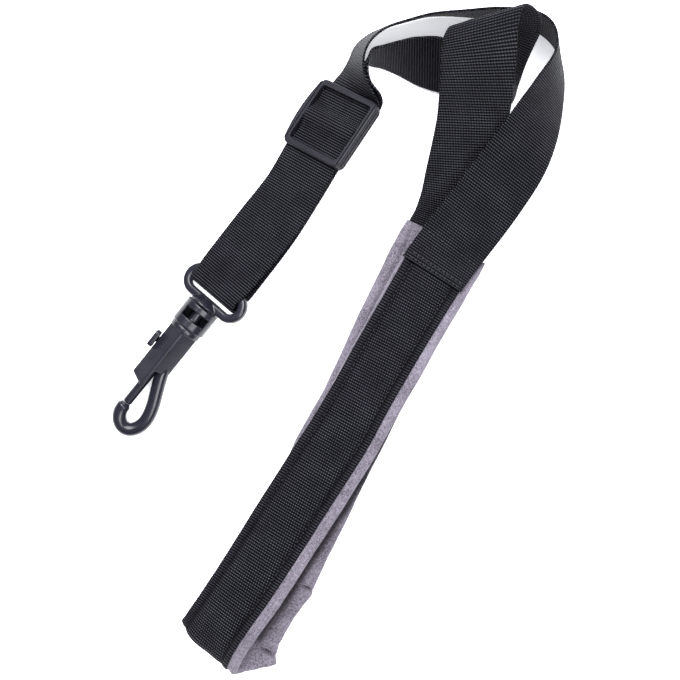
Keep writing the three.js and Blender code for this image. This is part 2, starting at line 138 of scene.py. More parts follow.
# First half of the turn round the ring's far bar: along from the bar, share of the lift, squeeze.
RING_TURN = [(6, -1, 0.93), (-1, -1, 0.88), (-5.4, -1, 0.87), (-8.2, -0.7, 0.87), (-9.2, 0, 0.87)]

# Ribbon rows: middle x, y, z, then the heading and the rise of its width, left edge to right, in degrees.
UPPER_ROWS = [
    (-77.4, 110.5, 19, -11, 46), (-83.3, 117.6, 19.8, -27, 59), (-87.6, 126.4, 19.8, -36, 64),
    (-87.7, 136.3, 19.8, -45, 67), (-83.8, 146.6, 19.8, -54, 69), (-77.6, 156, 20, -59, 69),
    (-67.8, 168.5, 20, -64, 69), (-53.2, 181, 20, -72, 71), (-36.5, 193.8, 20, -90, 74),
    (-18, 203.5, 20.2, -105, 77), (-2.8, 203.4, 20.4, -126, 75), (9.3, 192.5, 21.5, -145, 68),
    (16, 173, 26, -160, 52), (20.9, 150.5, 33.5, -168, 36), (24.2, 129, 34, -173, 22),
    (25.4, 107.5, 27.5, -176, 10), (26, 85, 21.6, -178, 2), (26.4, 66, 19.7, -177, 0),
    (27, 49.5, 19.7, -174, 0),
]
LOWER_ROWS = [
    (-73.5, 112.3, 16.2, -9, 45), (-79, 117, 18.2, -27, 57), (-80.8, 122.2, 19.6, -40, 70),
    (-79.2, 127, 20.4, -68, 83), (-73.8, 132, 20.2, -110, 88), (-65.9, 137.2, 20, 145, 80.6),
    (-56, 142.6, 19.2, 141, 66.5), (-43.5, 149.5, 18.7, 137, 59), (-27, 153.5, 20, 133, 72),
    (-12, 157, 20.6, 143, 83), (-3, 163, 20.6, 190, 79), (-11.4, 169.8, 21.5, 208, 60),
    (-18, 174.8, 27, 211, 46), (-23, 178.4, 36, 212, 31), (-26.3, 179.8, 46, 215, 14),
    (-29.3, 177.2, 55.4, 223, 2), (-33.8, 172.3, 62, 231, -6), (-36.4, 167, 65.6, 231, -11),
    (-33.5, 159, 65.2, 228, -8), (-26.3, 150, 61, 221, -4), (-18.5, 140.5, 52, 217.5, -1),
    (-10.4, 130.3, 41.2, 216.5, 0), (-4, 119.5, 32.5, 216, 0), (2.5, 107.5, 23.5, 214, 0),
    (10, 94, 14.8, 208, 0), (14.4, 83, 8.3, 200, 0), (16.3, 74, 4.3, 194, 0),
    (18.8, 60, 1.3, 192.5, 0), (21.8, 45, 0.8, 192, 0),
]
DROP_UNDER_ROWS = [(-69.3, 40, 9.6, 4, 25), (-67.3, 10, 8.2, 2, 21)]
DROP_OVER_ROWS = [(-68.2, 10, 14.5, 2, 21), (-69, 38, 14, 4, 25)]
PAD_ROWS = [
    (26.3, 73, 17.7, -177, 0), (27, 49, 17.6, -174, 0), (33.5, 0, 18.1, -168, -6),
    (39, -35, 18.4, -168.5, -14), (42.8, -60, 18.7, -168.5, -19), (45.4, -88, 19, -168, -24),
    (47.8, -115, 19.2, -166.5, -27), (50.9, -146, 19.2, -165, -30), (53.4, -174, 19, -165, -32),
    (55, -190, 18, -168, -31), (56.8, -201.5, 14.8, -176, -26), (58.4, -207.6, 10.3, -185, -17),
    (62.5, -205.2, 4.9, -182, -8), (66.3, -196, 2.4, -175, -3), (69.3, -182, 1.1, -170.5, 0),
    (67, -162, 0.9, -167, 0), (58.5, -126, 0.9, -165, 0), (45.5, -75, 0.9, -167.5, 0),
    (38.3, -32, 0.9, -168.6, 0), (30.5, 4, 1, -167.5, 0), (21.6, 44, 2.8, -167.5, 0),
    (18.6, 58, 3.9, -167.5, 0), (15.8, 72.5, 6.4, -167.5, 0),
]
JAW_POINTS = [
    (3.4, -22), (6.2, -30), (9.8, -38.5), (13.4, -47), (15.4, -55), (14.8, -61.5),
    (11.6, -66.4), (7, -67.6), (2.6, -65.2), (0, -60.6), (-0.4, -54.9),
]


# ---------- meshes ----------

def shade_smooth(mesh):
    mesh.polygons.foreach_set("use_smooth", [True] * len(mesh.polygons))


def linked(name, data):
    """New object of the scene with that mesh, light or camera."""
    obj = bpy.data.objects.new(name, data)
    bpy.context.scene.collection.objects.link(obj)
    return obj


def new_piece(name, points, faces, uvs=None):
    """Blender object from points in millimetres of the part's frame and faces of point numbers."""
    mesh = bpy.data.meshes.new(name)
    mesh.from_pydata((np.asarray(points) * MM).tolist(), [], faces)
    if uvs is not None:
        layer = mesh.uv_layers.new(name="weave")
        corner = np.empty(len(mesh.loops), dtype=np.int32)
        mesh.loops.foreach_get("vertex_index", corner)
        layer.data.foreach_set("uv", np.asarray(uvs, dtype=np.float32)[corner].ravel())
    shade_smooth(mesh)
    mesh.validate()
    return linked(name, mesh)


def ring_faces(rings, count, closed=False):
    """Quads between rings of count points each, with end caps unless the rings close on themselves."""
    faces = []
    pairs = rings if closed else rings - 1
    for ring in range(pairs):
        here = ring * count
        after = ((ring + 1) % rings) * count
        for side in range(count):
            beside = (side + 1) % count
            faces.append((here + side, here + beside, after + beside, after + side))
    if not closed:
        faces.append(tuple(reversed(range(count))))
        faces.append(tuple(range((rings - 1) * count, rings * count)))
    return faces


def catmull_rom(values, places):
    """Uniform Catmull-Rom curve through the values, at places counted in rows."""
    values = np.asarray(values, dtype=float)
    padded = np.vstack([2 * values[0] - values[1], values, 2 * values[-1] - values[-2]])
    index = np.clip(np.floor(places).astype(int), 0, len(values) - 2)
    share = (places - index)[:, None]
    before, start, end, after = (padded[index + step] for step in range(4))
    leave = (end - before) / 2
    arrive = (after - start) / 2
    return (
        start + share * leave
        + share ** 2 * (3 * (end - start) - 2 * leave - arrive)
        + share ** 3 * (2 * (start - end) + leave + arrive)
    )


def unit(vectors):
    return vectors / np.linalg.norm(vectors, axis=-1, keepdims=True)


def circle(sides):
    """Cosine and sine of equal steps round a circle."""
    angles = [2 * math.pi * step / sides for step in range(sides)]
    return [(math.cos(angle), math.sin(angle)) for angle in angles]


def distances(points):
    """Distance of each point from the first, along the line through them."""
    return np.concatenate([[0], np.cumsum(np.linalg.norm(np.diff(points, axis=0), axis=1))])


def ribbon(rows, step):
    """Middle, across, outward, squeeze and length along a ribbon, at equal steps of its length."""
    rows = [tuple(row) + (1.0,) * (6 - len(row)) for row in rows]
    table = np.array(rows, dtype=float)
    heading, rise = np.radians(table[:, 3]), np.radians(table[:, 4])
    widths = np.stack(
        [np.cos(rise) * np.cos(heading), np.cos(rise) * np.sin(heading), np.sin(rise)], axis=1)
    places = np.linspace(0, len(rows) - 1, 60 * (len(rows) - 1) + 1)
    middles = catmull_rom(table[:, :3], places)
    lengths = distances(middles)
    count = max(int(round(lengths[-1] / step)), 2)
    wanted = np.linspace(0, lengths[-1], count + 1)
    places = np.interp(wanted, lengths, places)
    middles = catmull_rom(table[:, :3], places)
    across = unit(catmull_rom(widths, places))
    tangents = unit(np.gradient(middles, axis=0))
    outward = unit(np.cross(across, tangents))
    squeeze = catmull_rom(table[:, 5:6], places)[:, 0]
    return {
        "middle": middles + CENTRE, "across": across, "outward": outward, "squeeze": squeeze,
        "length": wanted,
    }


def ribbon_points(path, across, outward):
    """Points of every section of a ribbon, from across and outward tables of one row a section."""
    points = (
        path["middle"][:, None, :]
        + path["across"][:, None, :] * across[:, :, None]
        + path["outward"][:, None, :] * outward[:, :, None]
    )
    points[..., 2] = np.maximum(points[..., 2], REST_CLEARANCE)
    return points


def bell(values, middle, spread):
    """1 at the middle, falling to 0 on both sides of it."""
    return np.exp(-((values - middle) / spread) ** 2)


def soft_noise(length, across, scale, seed):
    """Smooth noise from about -1 to 1 on a ribbon's surface, given lengths and places across."""
    cell = scale / NOISE_CELLS
    rows = np.unique(np.round(length / cell).astype(int))
    columns = np.unique(np.round(across / cell).astype(int))
    grid = np.empty((rows[-1] - rows[0] + 2, columns[-1] - columns[0] + 2))
    for i in range(grid.shape[0]):
        for j in range(grid.shape[1]):
            spot = ((i + rows[0]) / NOISE_CELLS, (j + columns[0]) / NOISE_CELLS, seed * NOISE_SEED_STEP)
            grid[i, j] = noise.noise(Vector(spot))
    x = np.clip(length / cell - rows[0], 0, grid.shape[0] - 1.001)
    y = np.clip(across / cell - columns[0], 0, grid.shape[1] - 1.001)
    i, j = np.floor(x).astype(int), np.floor(y).astype(int)
    s, t = x - i, y - j
    return (
        grid[i, j] * (1 - s) * (1 - t) + grid[i + 1, j] * s * (1 - t)
        + grid[i, j + 1] * (1 - s) * t + grid[i + 1, j + 1] * s * t
    )


def webbing(name, rows, pitch, seed, shape=None, reaches=None):
    """Woven strap with ribs across it, rounded selvedges and the slight unevenness of cloth.

    shape adds height, from lengths and places across. reaches gives the left and the right edge's
    distance from the middle, by length, in place of an even width.
    """
    path = ribbon(rows, pitch / RIB_SECTIONS)
    half, thick = WEBBING_WIDTH / 2, WEBBING_THICKNESS / 2
    face = np.linspace(-1, 1, FACE_POINTS)
    face = np.sign(face) * (1 - (1 - np.abs(face)) ** FACE_CROWDING)
    top = [(a, FACE_EDGE if abs(a) == 1 else 1) for a in face]
    underside = [(a, -b) for a, b in reversed(top)]
    left_rim = [(-a, b) for a, b in reversed(SELVEDGE_RIM)]
    section = np.array(top + SELVEDGE_RIM + underside + left_rim)
    place, length = np.broadcast_arrays(section[None, :, 0] * half, path["length"][:, None])
    ribs = np.cos(2 * math.pi * length / pitch)
    selvedge = np.clip((np.abs(place) - half + SELVEDGE_WIDTH) / SELVEDGE_WIDTH, 0, 1)
    relief = RIB_HEIGHT * ribs * (1 - 0.5 * selvedge)
    outward = section[None, :, 1] * (thick - RIB_HEIGHT) + np.sign(section[None, :, 1]) * relief
    size, scale = UNEVENNESS
    uneven = size * soft_noise(length, place * NOISE_ACROSS, scale, seed)
    outward = outward + uneven * (0.4 + 0.6 * np.abs(place) / half)
    if shape is not None:
        outward = outward + shape(length, place)
    if reaches is None:
        size, scale = WANDER
        across = place * path["squeeze"][:, None] + size * soft_noise(length, 0 * length, scale, seed + 3)
    else:
        left, right = (np.interp(length, *zip(*table)) for table in reaches)
        across = place / half * np.where(place < 0, left, right)
    across = across + np.sign(place) * selvedge * SELVEDGE_SCALLOP * ribs
    points = ribbon_points(path, across, outward)
    uvs = np.stack([place, length], axis=-1).reshape(-1, 2)
    return new_piece(name, points.reshape(-1, 3), ring_faces(len(points), len(section)), uvs)


# ---------- pad ----------

PAD_LENGTH = ribbon(PAD_ROWS, 1.0)["length"][-1]

# Angles of the points round the lining's rolled edge, in degrees.
EDGE_ANGLES = np.linspace(78, -78, 13)
BELLY_POINTS = 41
# Number of the point halfway round the left edge.
LEFT_RIM = len(EDGE_ANGLES) + BELLY_POINTS + len(EDGE_ANGLES) // 2

# Where the pad folds, from how far past it painted shade darkens the lower half's velvet, over what length
# that painted shade comes and goes, and its band outside the upper half's rim.
FOLD_LENGTH = 292.0
FOLD_ROOM = 13.0
FOLD_FADE = 7.0
FOLD_SHADE_BAND = (-3.5, 1.5, 3.6, 6.8)

# The pad's webbing between its seams, along them and beside them.
QUILT = dict(
    rise=0.9, roundness=0.7, seam_depth=0.75,
    pucker=0.6,
)
# The foam and its velvet, whose taper and end_share thin its ends.
LINING = dict(
    step=0.7, overlap=0.12, thickness=4.9, least=0.2, taper=5, end_share=0.12,
    flat=0.96, flat_scale=0.97, face_points=23,
    belly=1.1, belly_reach=21, belly_power=2.5,
    seam_depth=1.5, end_seam_room=1,
    swell=0.45, swell_across=0.8, swell_apart=60,
    # The last entry is the dent depth at which a crease's painted shade is full.
    nap=0.2, rim_lift=0.5, crease_draw=0.25, crease_shade_depth=4,
)

# Reach of the pad's edges from its middle line: length along the pad, reach.
COVER_LEFT = [
    (0, 20), (50, 19), (105, 18.4), (130, 19.2), (160, 19.9), (200, 20.9), (240, 21.1), (262, 20),
    (275, 19), (300, 20),
]
COVER_RIGHT = [
    (0, 18.6), (50, 17.4), (105, 17.6), (130, 18.7), (150, 19.4), (270, 20), (283, 19.6), (292, 19),
    (304, 20), (330, 18.6), (560, 18.6), (578, 19.8),
]
LINING_LEFT = [
    (0, 22), (8, 24), (20, 25), (40, 25.3), (80, 25.2), (110, 24.4), (150, 25.5), (180, 26.3),
    (240, 27), (262, 25.8), (276, 24.6), (286, 25.2), (292, 26.2), (298, 29.5), (301, 32.6),
    (303.5, 34), (307, 29.5), (313, 25.5), (320, 24), (330, 23.9), (340, 25.4), (346, 27),
    (352, 26.2), (376, 26.9), (396, 27.9), (426, 28.6), (446, 28.4), (480, 26.5), (520, 24),
    (570, 21.5), (580, 20.5),
]
LINING_RIGHT = [
    (0, 19.8), (12, 20), (50, 19), (105, 18.7), (130, 19.7), (150, 20.2), (270, 20.8), (283, 19.6),
    (292, 19), (306, 20), (320, 20.4), (436, 20.4), (456, 20.3), (496, 21.4), (516, 21.9),
    (570, 21.5), (580, 20.5),
]
# Fullness of the webbing at the fold, by the same measures as the creases.
FOLD_BULGE = (285, 8, 3.1, 9, 12)

# Creases in the velvet: length along the pad, spread, depth, then the place across where it is deepest
# and its spread there.
CREASES = [
    (306.5, 1.1, 4.4, -24, 5), (349.5, 1.0, 4.0, -22, 5), (331, 2.2, 1.1, -20, 6), (318, 1.6, 1.0, -17, 5),
    (372, 2.4, 0.8, -26, 5), (410, 2.6, 0.6, -26, 5), (268, 2, 0.7, -24, 4), (240, 2.4, 0.4, -26, 4),
]


def quilting(length, across):
    """How the pad's webbing rises between its two seams and sinks along them."""
    from_seam = np.abs(across) - SEAM_REACH
    inside = np.clip(1 - (np.abs(across) / SEAM_REACH) ** 2, 0, 1)
    seam = bell(from_seam, 0, spread=1.1)
    puckers = soft_noise(length, across * NOISE_ACROSS, scale=9, seed=21)
    beside = bell(from_seam, 0, spread=4.5)
    at, spread, depth, middle, stretch = FOLD_BULGE
    bulge = depth * bell(length, at, spread) * bell(across, middle, stretch)
    rise = QUILT["rise"] * inside ** QUILT["roundness"]
    return rise - QUILT["seam_depth"] * seam + QUILT["pucker"] * puckers * beside + bulge


def lining():
    """Velvet-faced foam under the pad's webbing, with rolled edges, seams, creases and painted fold shade.
    """
    p = LINING
    path = ribbon(PAD_ROWS, p["step"])
    edge = [(1, math.cos(a), math.sin(a)) for a in np.radians(EDGE_ANGLES)]
    belly = [(x, 0, -1) for x in np.linspace(p["flat"], -p["flat"], BELLY_POINTS)]
    face = [(x, 0, 1) for x in np.linspace(-p["flat"], p["flat"], p["face_points"])]
    section = edge + belly + [(-1, c, s) for _, c, s in reversed(edge)] + face
    side, out, up = (np.array(column)[None, :] for column in zip(*section))
    rim = np.abs(side) == 1
    velvet_side = np.clip(-up, 0, 1)

    length = path["length"][:, None]
    from_end = np.minimum(length, path["length"][-1] - length)
    fullness = np.sqrt(np.clip(from_end / p["taper"], p["end_share"], 1))
    thick = p["thickness"] * fullness + p["least"]
    roll = thick / 2
    left = np.interp(length, *zip(*LINING_LEFT))
    right = np.interp(length, *zip(*LINING_RIGHT))
    reach = np.where(side < 0, left, right)
    rolled = np.sign(side) * (reach - roll * (1 - out))
    across = np.where(rim, rolled, side * (reach - roll) / p["flat_scale"])
    top = -WEBBING_THICKNESS / 2 + p["overlap"]
    outward = top - thick / 2 + up * thick / 2
    bulge = fullness * (1 - np.clip(np.abs(across) / p["belly_reach"], 0, 1) ** p["belly_power"])
    outward = outward - p["belly"] * bulge * velvet_side

    seam = bell(np.abs(across) - SEAM_REACH, 0, spread=1.3)
    between = np.abs(across) < SEAM_REACH + p["end_seam_room"]
    end_seam = bell(from_end, END_SEAM_INSET, spread=1.1) * between
    outward = outward + p["seam_depth"] * np.maximum(seam, end_seam) * velvet_side
    lengths = length + 0 * across
    velvet_noise = across * p["swell_across"] + p["swell_apart"] * (up < 0)
    swell = soft_noise(lengths, velvet_noise, scale=15, seed=5)
    outward = outward + p["swell"] * swell * velvet_side
    across = across + np.where(rim, p["swell"] * np.sign(side) * swell * out, 0)
    fine = soft_noise(lengths, across, scale=4, seed=9)
    outward = outward + np.where(rim | (up < 0), p["nap"] * fine, 0)
    outward = outward + p["rim_lift"] * np.where(rim & (up > 0), up, 0)

    # Painted shade in the deeper creases, the darker the deeper the dent.
    crease_shade = 0
    for at, spread, depth, middle, stretch in CREASES:
        dent = depth * bell(length, at, spread) * bell(across, middle, stretch)
        outward = outward + dent * velvet_side
        across = across + p["crease_draw"] * dent * (side == -1) * out
        crease_shade = np.maximum(crease_shade, np.clip(dent / p["crease_shade_depth"], 0, 1) ** 2 * (velvet_side > 0))
    points = ribbon_points(path, across, outward)
    piece = new_piece("velvet_lining", points.reshape(-1, 3), ring_faces(len(points), len(section)))
    # Painted shade on the velvet, as a point attribute: beside the upper half's rim inside the fold, and
    # in the creases.
    painted_shade = piece.data.attributes.new("painted_shade", "FLOAT", "POINT")
    shade_in_fold = painted_fold_shade(points, path, length[:, 0]) * np.clip(-across / 5, 0, 1)
    depth = np.maximum(shade_in_fold, crease_shade)
    painted_shade.data.foreach_set("value", depth.ravel().astype(np.float32))
    return piece


def painted_fold_shade(points, path, length):
    """How much, 0 to 1, painted shade darkens each point of the pad's lower half beside the upper half's
    rim.
    """
    upper = length < FOLD_LENGTH
    rim = points[upper][:, LEFT_RIM, :2]
    beyond = -path["across"][upper][:, :2]
    depth = np.zeros(points.shape[:2])
    for index in np.flatnonzero(length > FOLD_LENGTH + FOLD_ROOM):
        gaps = points[index][:, None, :2] - rim[None]
        nearest = np.linalg.norm(gaps, axis=2).argmin(axis=1)
        outside = np.sum(gaps[np.arange(len(nearest)), nearest] * beyond[nearest], axis=1)
        from_fold = min((length[index] - FOLD_LENGTH - FOLD_ROOM) / FOLD_FADE, 1)
        to_end = min((length[-1] - length[index]) / FOLD_FADE, 1)
        across_band = np.interp(outside, FOLD_SHADE_BAND, (0, 1, 1, 0))
        depth[index] = across_band * min(from_fold, to_end)
    return depth ** 2 * (3 - 2 * depth)


def stitches(name, rows, tracks, level, shape=None, radius=STITCH_RADIUS):
    """Threads of a seam, as short capsules along tracks of (length, across) points.

    level is their height above the webbing's middle, to which shape adds as it does in webbing().
    """
    path = ribbon(rows, 1.0)
    points, faces = [], []
    rings, sides = 5, 6
    share = np.linspace(-1, 1, rings)
    bulge = math.copysign(STITCH_BULGE, level) * (1 - share ** 2)
    radii = radius * np.sqrt(np.clip(1.05 - share ** 4, 0.05, 1))
    for track in tracks:
        track = np.array(track, dtype=float)
        run = distances(track)
        for start in np.arange(STITCH_PITCH * 0.3, run[-1] - STITCH_LENGTH, STITCH_PITCH):
            spots = start + np.linspace(0, STITCH_LENGTH, rings)
            along = np.interp(spots, run, track[:, 0])
            across = np.interp(spots, run, track[:, 1])
            lift = level + bulge
            if shape is not None:
                lift = lift + shape(along, across)
            middle, wide, out = (
                np.stack([np.interp(along, path["length"], column) for column in path[key].T], axis=1)
                for key in ("middle", "across", "outward"))
            centre = middle + wide * across[:, None] + out * lift[:, None]
            ahead = unit(np.gradient(centre, axis=0))
            beside = unit(np.cross(out, ahead))
            centre[:, 2] = np.maximum(centre[:, 2], REST_CLEARANCE + radius)
            first = len(points)
            for ring in range(rings):
                for c, s in circle(sides):
                    flat = STITCH_FLATNESS * s * out[ring]
                    points.append(centre[ring] + radii[ring] * (c * beside[ring] + flat))
            faces += [tuple(first + corner for corner in face) for face in ring_faces(rings, sides)]
    return new_piece(name, points, faces)


# ---------- moulded pieces ----------

def outline(half_width, half_height, corner, bow=0.0, steps=10, bow_points=12):
    """Points of a rounded rectangle, anticlockwise, whose left side bows out by bow in its middle."""
    points = []
    for index, (right, up) in enumerate([(1, -1), (1, 1), (-1, 1), (-1, -1)]):
        for step in range(steps + 1):
            angle = (index - 1 + step / steps) * math.pi / 2
            points.append((
                right * (half_width - corner) + corner * math.cos(angle),
                up * (half_height - corner) + corner * math.sin(angle)))
        if index == 2 and bow > 0:
            for share in np.linspace(1, -1, bow_points + 2)[1:-1]:
                points.append((-half_width - bow * (1 - share ** 2), share * (half_height - corner)))
    return np.array(points)


def shrunk(points, inset):
    """Outline moved inwards by inset along its normals."""
    ahead = unit(np.roll(points, -1, axis=0) - np.roll(points, 1, axis=0))
    return points + inset * np.stack([-ahead[:, 1], ahead[:, 0]], axis=1)


def plate(points, bottom, top, bevel, steps=5):
    """Points and faces of a plate with rounded rims, its outline in x and y."""
    quarter = [math.pi / 2 * step / steps for step in range(steps + 1)]
    rings = [(bevel * (1 - math.sin(a)), bottom + bevel * (1 - math.cos(a))) for a in quarter]
    rings += [(bevel * (1 - math.cos(a)), top - bevel * (1 - math.sin(a))) for a in quarter]
    stack = []
    for inset, height in rings:
        loop = shrunk(points, inset)
        stack.append(np.column_stack([loop, np.full(len(loop), height)]))
    return np.vstack(stack), ring_faces(len(rings), len(points))


def block(low, high):
    """Points and faces of a box."""
    (left, front, bottom), (right, back, top) = low, high
    corners = [(left, front), (right, front), (right, back), (left, back)]
    points = [(*corner, z) for z in (bottom, top) for corner in corners]
    return np.array(points, dtype=float), ring_faces(2, 4)


def turned(profile, sides=72):
    """Points and faces of a solid turned about Y, from [radius, along] rows that start and end on it."""
    points = []
    for radius, along in profile:
        radius = max(radius, AXIS_RADIUS)
        points += [(radius * c, along, -radius * s) for c, s in circle(sides)]
    return np.array(points), ring_faces(len(profile), sides)


def tube(middles, radii, sides=28):
    """Points and faces of a round bar along points of one level, with a radius at each."""
    ahead = unit(np.gradient(middles, axis=0))
    up = np.array([0.0, 0.0, 1.0])
    beside = unit(np.cross(ahead, up))
    points = []
    for middle, side, radius in zip(middles, beside, radii):
        points += [middle + radius * (c * side - s * up) for c, s in circle(sides)]
    return np.array(points), ring_faces(len(middles), sides)


def rounded(profile, radius, steps=4, most=0.45):
    """Profile rows with corners curved over at most a share (most) of a side; the ends are kept."""
    rows = [np.array(row, dtype=float) for row in profile]
    out = [rows[0]]
    for before, corner, after in zip(rows, rows[1:], rows[2:]):
        back, on = before - corner, after - corner
        size = min(radius, most * np.linalg.norm(back), most * np.linalg.norm(on))
        start = corner + size * back / np.linalg.norm(back)
        end = corner + size * on / np.linalg.norm(on)
        for step in range(steps + 1):
            share = step / steps
            out.append((1 - share) ** 2 * start + 2 * share * (1 - share) * corner + share ** 2 * end)
    out.append(rows[-1])
    return out


def bake(obj):
    """Applies an object's modifiers to its mesh."""
    graph = bpy.context.evaluated_depsgraph_get()
    mesh = bpy.data.meshes.new_from_object(obj.evaluated_get(graph))
    obj.modifiers.clear()
    old = obj.data
    obj.data = mesh
    bpy.data.meshes.remove(old)


def modify(obj, kind, **settings):
    """Gives an object a modifier with those settings."""
    modifier = obj.modifiers.new(kind, kind)
    for key, value in settings.items():
        setattr(modifier, key, value)


def combine(base, other, operation):
    """Joins or cuts the base with the other object, which is used up."""
    modify(base, "BOOLEAN", operation=operation, solver="EXACT", object=other)
    bake(base)
    bpy.data.objects.remove(other)


def carved(base, cuts):
    """The base less each of the shapes in turn."""
    for cut in cuts:
        combine(base, new_piece("cut", *cut), "DIFFERENCE")
    return base


def softened(obj, name, place, voxel, smoothing):
    """The object remeshed in voxels of that many millimetres, smoothed, placed and named."""
    modify(obj, "REMESH", mode="VOXEL", voxel_size=voxel * MM)
    modify(obj, "SMOOTH", factor=0.5, iterations=smoothing)
    bake(obj)
    obj.data.transform(place)
    shade_smooth(obj.data)
    obj.name = obj.data.name = name
    return obj


def moulded(name, shapes, cuts, place, voxel, smoothing):
    """One moulding from overlapping shapes less its cuts, with edges softened all over."""
    base = new_piece(name, *shapes[0])
    for shape in shapes[1:]:
        combine(base, new_piece("shape", *shape), "UNION")
    return softened(carved(base, cuts), name, place, voxel, smoothing)


def placed(origin, *turns):
    """Matrix that turns by (degrees, axis) pairs, last first, and moves to an origin in millimetres."""
    matrix = Matrix.Translation(Vector((np.array(origin) + CENTRE) * MM))
    for degrees, axis in turns:
        matrix = matrix @ Matrix.Rotation(math.radians(degrees), 4, axis)
    return matrix


SLIDER_PLACE = placed(SLIDER["middle"], (SLIDER["turn"], "Z"), (-SLIDER["roll"], "Y"))
HOOK_TURNS = ((HOOK["turn"], "Z"), (HOOK["tilt"], "X"))
RING_PLACE = placed(HOOK["foot"], *HOOK_TURNS, (HOOK["ring_roll"], "Y"))
BODY_PLACE = placed(HOOK["foot"], *HOOK_TURNS, (HOOK["body_roll"], "Y"))


def in_place(matrix, x, y, z):
    """Millimetre point in the tables' frame of a point in a placed frame."""
    return np.array((matrix @ Vector((x * MM, y * MM, z * MM)))[:]) / MM - CENTRE


def rows_in_slider(rows):
    """Ribbon rows of webbing in the slider, from rows of along, height, across and squeeze."""
    out = []
    for along, height, *rest in rows:
        across, squeeze = rest or (0.0, 1.0)
        middle = in_place(SLIDER_PLACE, across, along, height)
        out.append((*middle, SLIDER["turn"], SLIDER["roll"], squeeze))
    return out


def rows_around_ring():
    """Ribbon rows of webbing round the ring's far bar."""
    far_bar = RING["middle"] + RING["half_height"] - RING["bar"] / 2
    lift = RING["bar"] / 2 + GAP + WEBBING_THICKNESS / 2
    back = [(along, -side, squeeze) for along, side, squeeze in reversed(RING_TURN[:-1])]
    out = []
    for along, side, squeeze in RING_TURN + back:
        middle = in_place(RING_PLACE, 0, far_bar + along, side * lift)
        out.append((*middle, HOOK["turn"], -HOOK["ring_roll"], squeeze))
    return out


def slider_parts():
    """The slider's frame with its grooves, and its middle bar."""
    s = SLIDER
    top = s["half_depth"]
    outer = plate(outline(s["half_width"], s["half_length"], s["corner"], s["bow"]), -top, top, bevel=0.9)
    window = plate(
        outline(s["window_half_width"], s["window_half_length"], s["window_corner"]),
        -FAR, FAR, bevel=0.01)
    channel = block((-s["inside"], -FAR, -FAR), (s["inside"], FAR, s["bar_underside"]))
    bar = plate(
        outline(s["inside"] + s["bar_root"], s["bar_half"], corner=0.8),
        s["bar_bottom"], s["bar_top"], bevel=0.5)
    cuts = [window, channel]
    for side in (-1, 1):
        line = side * (s["half_width"] - s["groove_inset"])
        low_edge, high_edge = line - s["groove_half"], line + s["groove_half"]
        cuts.append(block((low_edge, -FAR, top - s["groove_depth"]), (high_edge, FAR, top + 1)))
        start, end = sorted((side * (s["half_width"] - s["wall_groove_depth"]), side * FAR))
        for low, high in WALL_GROOVES:
            cuts.append(block((start, -FAR, low), (end, FAR, high)))
    frame_part = moulded("slider_frame", [outer], cuts, SLIDER_PLACE, voxel=0.25, smoothing=2)
    bar_part = moulded("slider_bar", [bar], [], SLIDER_PLACE, voxel=0.35, smoothing=2)
    return frame_part, bar_part


def ring_part():
    """Flat ring with its neck, and the headed post that turns in the barrel."""
    r = RING
    radius = r["half_height"] - r["bar"] / 2
    straight = r["half_width"] - r["half_height"]
    path = []
    for middle, start in ((straight, -90), (-straight, 90)):
        for angle in np.radians(np.linspace(start, start + 180, 33)):
            path.append((middle + radius * math.cos(angle), radius * math.sin(angle)))
    path = np.array(path)
    ahead = unit(np.roll(path, -1, axis=0) - np.roll(path, 1, axis=0))
    sideways = np.stack([ahead[:, 1], -ahead[:, 0]], axis=1)
    half, power = r["bar"] / 2, r["squareness"]
    sides = 28
    points = []
    for middle, side in zip(path, sideways):
        for c, s in circle(sides):
            reach = half / (abs(c) ** power + abs(s) ** power) ** (1 / power)
            x, y = middle + side * reach * c
            points.append((x, y + r["middle"], reach * s))
    loop = (np.array(points), ring_faces(len(path), sides, closed=True))
    neck = turned(rounded([
        (0, r["head_bottom"]), (r["head_radius"], r["head_bottom"]), (r["head_radius"], r["head_top"]),
        (r["post_radius"], r["head_top"]), (r["post_radius"], r["neck_foot"]),
        (r["neck_radius"], r["neck_foot"]), (r["neck_radius"], r["neck_shoulder"]),
        (r["neck_top_radius"], r["neck_top"]), (0, r["neck_top"]),
    ], radius=0.5))
    return moulded("ring_and_post", [loop, neck], [], RING_PLACE, voxel=0.36, smoothing=3)


def barrel_part():
    """Barrel with its groove, throat, cavity and window."""
    b = BARREL
    wall = turned(rounded([
        (0, b["collar_bottom"]), (b["collar_radius"], b["collar_bottom"]),
        (b["collar_radius"], b["groove_bottom"]),
        (b["groove_radius"], b["groove_bottom"] + b["groove_lip"]),
        (b["groove_radius"], b["groove_top"] - b["groove_lip"]), (b["radius"], b["groove_top"]),
        (b["radius"], b["top"]), (b["throat_radius"], b["top"]),
        (b["throat_radius"], b["cavity_top"]), (b["cavity_radius"], b["cavity_top"]),
        (b["cavity_radius"], b["cavity_bottom"]), (0, b["cavity_bottom"]),
    ], radius=0.45))
    window = block((-b["window_half"], b["window_bottom"], 0), (b["window_half"], b["window_top"], FAR))
    return carved(new_piece("barrel", *wall), [window])


